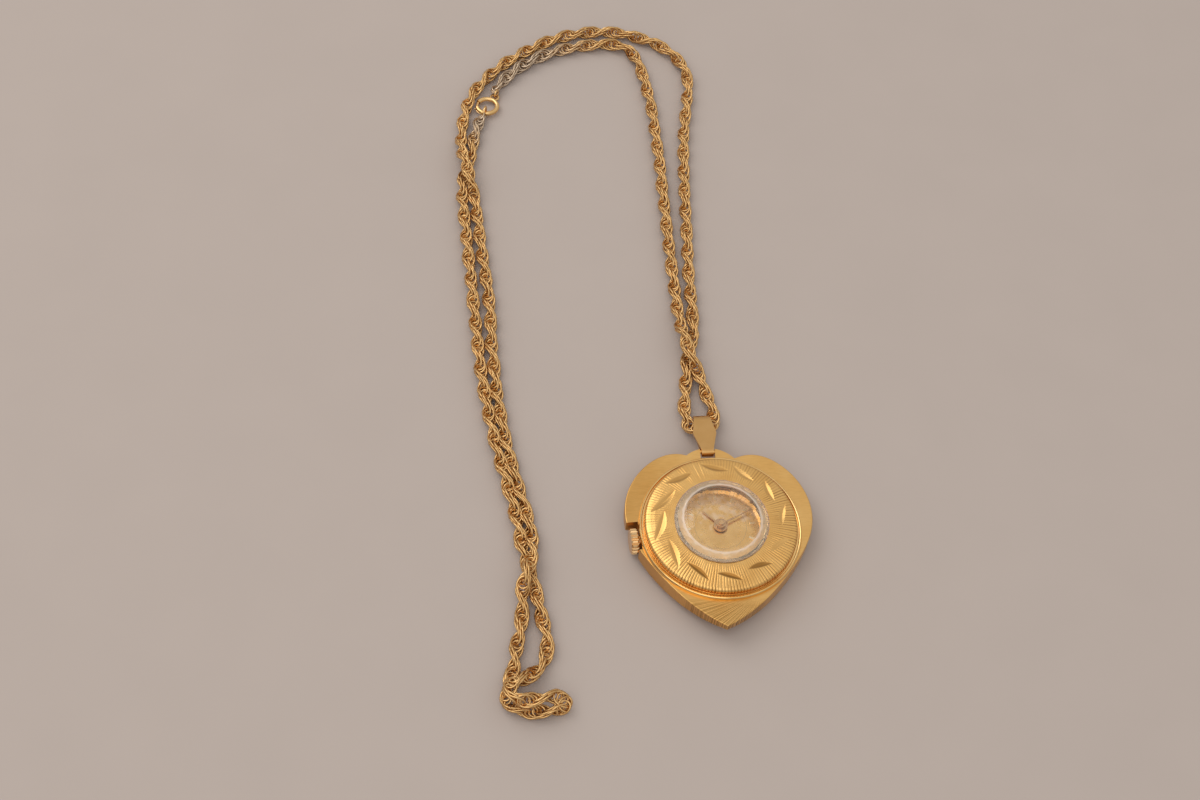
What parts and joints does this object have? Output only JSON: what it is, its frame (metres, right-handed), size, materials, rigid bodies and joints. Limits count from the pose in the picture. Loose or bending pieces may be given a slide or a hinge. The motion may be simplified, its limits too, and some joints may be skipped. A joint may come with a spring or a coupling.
{
  "type": "pendant watch",
  "caption": "Heart-shaped hand-wound pendant watch with a round engraved bezel, facetted crystal, side crown and folded bail, on a long rope chain with a spring ring clasp.",
  "frame": {"origin": "where the dial axis meets the outer face of the back cover", "axes": "+Z out of the dial, +Y from the heart's tip towards the bail, +X to the right as seen from above; the back rests on the surface at z = 0"},
  "size_m": [0.0677, 0.1717, 0.009],
  "materials": {
    "gold_case": "brushed gold plate, polished side wall",
    "gold_back": "brushed gold plate",
    "gold_rim": "polished gold plate",
    "gold_disc": "fine sunburst engraving on gold plate",
    "crystal": "clear acrylic, facetted edge",
    "rose_gold": "polished rose gold plate",
    "dial": "pale satin lacquer",
    "markers": "polished",
    "hands": "polished",
    "bail_gold": "satin gold plate with bright edges",
    "crown_gold": "fluted gold plate",
    "movement_steel": "fine ground",
    "movement_brass": "fine grained brass",
    "movement_nickel": "nickel plate, fine stripes",
    "ruby": "polished stone",
    "screw_steel": "blued",
    "spring_steel": "spring strip",
    "holder": "moulded",
    "chain_gold": "bright gold plate, worn to silver in one stretch",
    "clasp_gold": "polished gold plate"
  },
  "bodies": {
    "bail_and_chain": {"bail": "bail_gold", "chain": "chain_gold", "spring_ring": "clasp_gold", "jump_ring": "clasp_gold", "tag_ring": "clasp_gold"},
    "case": {"case_body": "gold_case", "case_back": "gold_back", "bezel_ring": "gold_rim", "bezel_plate": "gold_disc", "crystal": "crystal", "dial_ring": "rose_gold", "dial": "dial", "dial_markers": "markers", "movement_ring": "holder", "main_plate": "movement_brass", "barrel_bridge": "movement_nickel", "train_bridge": "movement_nickel", "balance_cock": "movement_nickel", "pallet_bridge": "movement_nickel", "jewels": "ruby", "bridge_screws": "screw_steel", "hairspring": "spring_steel"},
    "gate": {"clasp_gate": "clasp_gold"},
    "minute_hand_and_cannon": {"minute_hand": "hands", "cannon_pinion": "movement_steel"},
    "hour_hand_and_wheel": {"hour_hand": "hands", "hour_wheel": "movement_brass"},
    "minute_wheel": {"minute_wheel": "movement_brass"},
    "setting_wheel": {"setting_wheel": "movement_steel"},
    "fourth_wheel": {"fourth_wheel": "movement_brass"},
    "third_wheel": {"third_wheel": "movement_brass"},
    "center_wheel": {"center_wheel": "movement_brass"},
    "barrel": {"mainspring_barrel": "movement_brass", "mainspring": "spring_steel"},
    "escape_wheel": {"escape_wheel": "movement_steel"},
    "pallet_fork": {"pallet_fork": "movement_steel"},
    "balance_wheel": {"balance_wheel": "movement_brass"},
    "winding_pinion": {"winding_pinion": "movement_steel"},
    "crown_and_stem": {"crown": "crown_gold", "winding_stem": "movement_steel"},
    "sliding_pinion": {"sliding_pinion": "movement_steel"},
    "setting_lever": {"setting_lever": "movement_steel"},
    "yoke": {"yoke": "movement_steel"},
    "crown_wheel": {"crown_wheel": "movement_steel"},
    "ratchet_and_arbor": {"ratchet_wheel": "movement_steel", "barrel_arbor": "movement_steel"},
    "click": {"click": "movement_steel"}
  },
  "joints": [
    {"name": "bail_swing", "type": "hinge", "parent": "bail_and_chain", "child": "case", "pos_m": [0, 0.01685, 0.00445], "axis": [1, 0, 0], "range_deg": [-90, 0]},
    {"name": "clasp_gate_slide", "type": "hinge", "parent": "bail_and_chain", "child": "gate", "pos_m": [-0.0434, 0.1093, 0.001], "axis": [0, 0, 1], "range_deg": [0, 36], "stiffness_Nm_per_rad": 0.0001, "springref_deg": -17.19},
    {"name": "minute_hand_turn", "type": "hinge", "parent": "case", "child": "minute_hand_and_cannon", "pos_m": [0, 0, 0.006], "axis": [0, 0, 1], "continuous": true},
    {"name": "hour_hand_turn", "type": "hinge", "parent": "case", "child": "hour_hand_and_wheel", "pos_m": [0, 0, 0.0055], "axis": [0, 0, 1], "continuous": true},
    {"name": "minute_wheel_turn", "type": "hinge", "parent": "case", "child": "minute_wheel", "pos_m": [-0.00096, -0.0022, 0.0045], "axis": [0, 0, 1], "continuous": true},
    {"name": "setting_wheel_turn", "type": "hinge", "parent": "case", "child": "setting_wheel", "pos_m": [-0.00321, -0.00111, 0.0043], "axis": [0, 0, 1], "continuous": true},
    {"name": "fourth_wheel_turn", "type": "hinge", "parent": "case", "child": "fourth_wheel", "pos_m": [0.00112, 0.00455, 0.0023], "axis": [0, 0, 1], "continuous": true},
    {"name": "third_wheel_turn", "type": "hinge", "parent": "case", "child": "third_wheel", "pos_m": [-0.00236, 0.00318, 0.0023], "axis": [0, 0, 1], "continuous": true},
    {"name": "center_wheel_turn", "type": "hinge", "parent": "case", "child": "center_wheel", "pos_m": [0, 0, 0.0023], "axis": [0, 0, 1], "continuous": true},
    {"name": "barrel_turn", "type": "hinge", "parent": "case", "child": "barrel", "pos_m": [-0.00167, -0.00385, 0.0023], "axis": [0, 0, 1], "continuous": true},
    {"name": "escape_wheel_turn", "type": "hinge", "parent": "case", "child": "escape_wheel", "pos_m": [0.00413, 0.00378, 0.0023], "axis": [0, 0, 1], "continuous": true},
    {"name": "pallet_fork_rock", "type": "hinge", "parent": "case", "child": "pallet_fork", "pos_m": [0.00453, 0.00172, 0.0026], "axis": [0, 0, 1], "range_deg": [-4, 4]},
    {"name": "balance_swing", "type": "hinge", "parent": "case", "child": "balance_wheel", "pos_m": [0.00503, -0.00084, 0.0021], "axis": [0, 0, 1], "range_deg": [-135, 135], "stiffness_Nm_per_rad": 0.00000004},
    {"name": "crown_turn", "type": "hinge", "parent": "case", "child": "winding_pinion", "pos_m": [-0.00626, -0.00071, 0.0029], "axis": [-0.9936, -0.1132, 0], "continuous": true},
    {"name": "crown_pull", "type": "slide", "parent": "winding_pinion", "child": "crown_and_stem", "axis": [-0.9936, -0.1132, 0], "range_m": [0, 0.0006]},
    {"name": "clutch_slide", "type": "slide", "parent": "winding_pinion", "child": "sliding_pinion", "axis": [-0.9936, -0.1132, 0], "range_m": [-0.0004, 0]},
    {"name": "setting_lever_turn", "type": "hinge", "parent": "case", "child": "setting_lever", "pos_m": [-0.0072, 0.0018, 0.0042], "axis": [0, 0, 1], "range_deg": [-13.39, 0]},
    {"name": "yoke_turn", "type": "hinge", "parent": "case", "child": "yoke", "pos_m": [-0.00465, -0.0034, 0.0042], "axis": [0, 0, 1], "range_deg": [-8.12, 0]},
    {"name": "crown_wheel_turn", "type": "hinge", "parent": "case", "child": "crown_wheel", "pos_m": [-0.00484, -0.00055, 0.0011], "axis": [0, 0, 1], "continuous": true},
    {"name": "ratchet_turn", "type": "hinge", "parent": "case", "child": "ratchet_and_arbor", "pos_m": [-0.00167, -0.00385, 0.0011], "axis": [0, 0, 1], "continuous": true},
    {"name": "click_rock", "type": "hinge", "parent": "case", "child": "click", "pos_m": [0.00067, -0.00703, 0.0011], "axis": [0, 0, 1], "range_deg": [0, 8], "stiffness_Nm_per_rad": 0.000001, "springref_deg": -5.73}
  ],
  "couplings": [
    {"joint": "hour_hand_turn", "follows": "minute_hand_turn", "ratio": 0.083333},
    {"joint": "minute_wheel_turn", "follows": "minute_hand_turn", "ratio": -0.33333},
    {"joint": "setting_wheel_turn", "follows": "minute_hand_turn", "ratio": 0.85714},
    {"joint": "third_wheel_turn", "follows": "fourth_wheel_turn", "ratio": -0.13333},
    {"joint": "center_wheel_turn", "follows": "fourth_wheel_turn", "ratio": 0.016667},
    {"joint": "barrel_turn", "follows": "fourth_wheel_turn", "ratio": -0.0027778},
    {"joint": "escape_wheel_turn", "follows": "fourth_wheel_turn", "ratio": -10},
    {"joint": "clutch_slide", "follows": "crown_pull", "ratio": -0.66667},
    {"joint": "setting_lever_turn", "follows": "crown_pull", "rad_per_m": -388.11},
    {"joint": "yoke_turn", "follows": "crown_pull", "rad_per_m": -234.69},
    {"joint": "crown_wheel_turn", "follows": "crown_turn", "ratio": 1},
    {"joint": "ratchet_turn", "follows": "crown_turn", "ratio": -0.54054}
  ]
}
